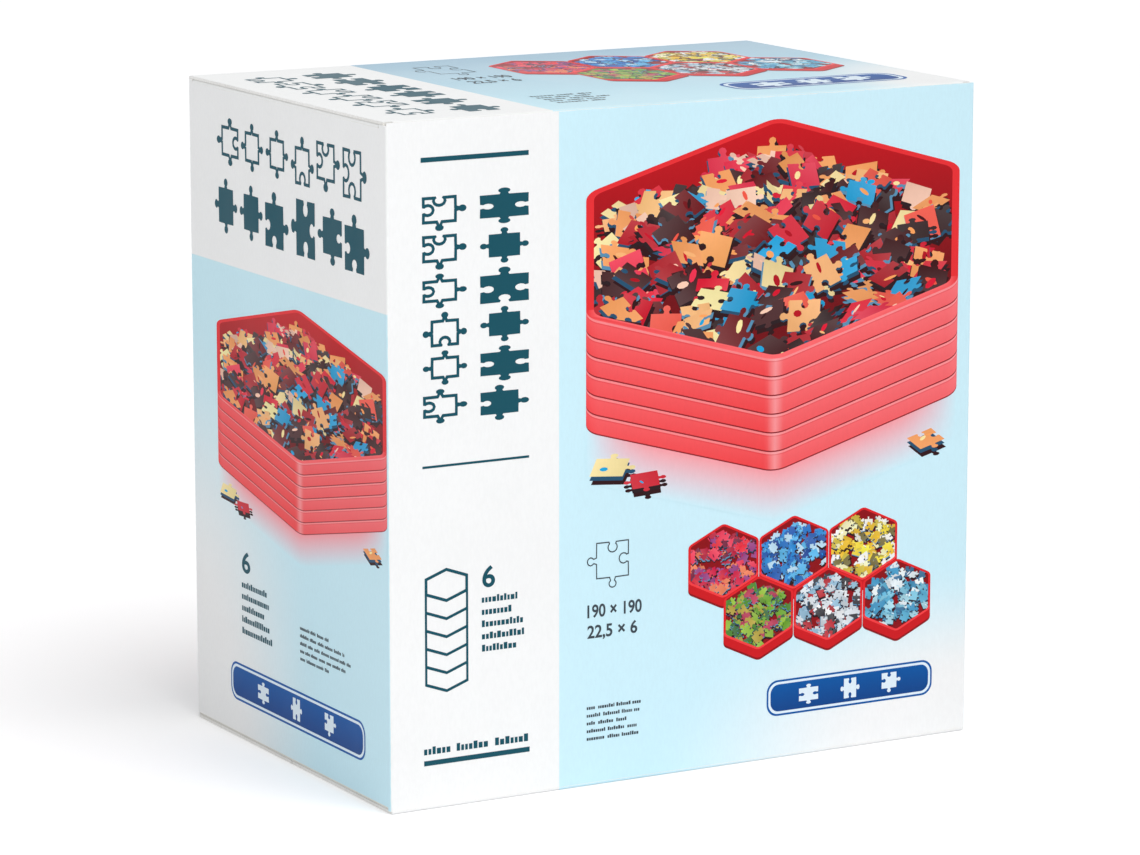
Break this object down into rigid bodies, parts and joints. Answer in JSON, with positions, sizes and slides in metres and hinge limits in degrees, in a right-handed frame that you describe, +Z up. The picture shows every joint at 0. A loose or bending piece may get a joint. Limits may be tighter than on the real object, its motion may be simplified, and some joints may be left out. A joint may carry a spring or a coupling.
{
  "type": "puzzle sorter",
  "caption": "Boxed puzzle sorter: a tuck-top folding carton holding a stack of jigsaw-shaped sorting trays that nest and lock side by side.",
  "frame": {"origin": "under the middle of the carton, on the surface it stands on", "axes": "+Z up, +X to the right along the front of the carton, the front faces -Y"},
  "size_m": [0.2, 0.132, 0.202],
  "materials": {
    "printed_board": "satin",
    "tray_plastic": "gloss"
  },
  "bodies": {
    "carton": {"front_panel": "printed_board", "right_panel": "printed_board", "back_panel": "printed_board", "left_panel": "printed_board", "glue_flap": "printed_board", "bottom_left_flap": "printed_board", "bottom_right_flap": "printed_board", "bottom_front_flap": "printed_board", "bottom_back_flap": "printed_board"},
    "lid": {"lid_panel": "printed_board"},
    "tuck": {"tuck_flap": "printed_board"},
    "left_dust": {"left_dust_flap": "printed_board"},
    "right_dust": {"right_dust_flap": "printed_board"},
    "tray_stack": {"tray_1": "tray_plastic", "tray_2": "tray_plastic", "tray_3": "tray_plastic", "tray_4": "tray_plastic", "tray_5": "tray_plastic", "tray_6": "tray_plastic"}
  },
  "joints": [
    {"name": "lid_hinge", "type": "hinge", "parent": "carton", "child": "lid", "pos_m": [0, 0.066, 0.201], "axis": [-1, 0, 0], "range_deg": [0, 180]},
    {"name": "tuck_fold", "type": "hinge", "parent": "lid", "child": "tuck", "pos_m": [0, -0.0637, 0.202], "axis": [-1, 0, 0], "range_deg": [0, 45]},
    {"name": "left_dust_fold", "type": "hinge", "parent": "carton", "child": "left_dust", "pos_m": [-0.1, 0, 0.2], "axis": [0, -1, 0], "range_deg": [0, 90]},
    {"name": "right_dust_fold", "type": "hinge", "parent": "carton", "child": "right_dust", "pos_m": [0.1, 0, 0.2], "axis": [0, 1, 0], "range_deg": [0, 90]},
    {"name": "stack_lift", "type": "slide", "parent": "carton", "child": "tray_stack", "axis": [0, 0, 1], "range_m": [0, 0.0075]}
  ],
  "couplings": [
    {"joint": "tuck_fold", "follows": "lid_hinge", "ratio": 0.25},
    {"joint": "left_dust_fold", "follows": "lid_hinge", "ratio": 0.5},
    {"joint": "right_dust_fold", "follows": "lid_hinge", "ratio": 0.5}
  ]
}
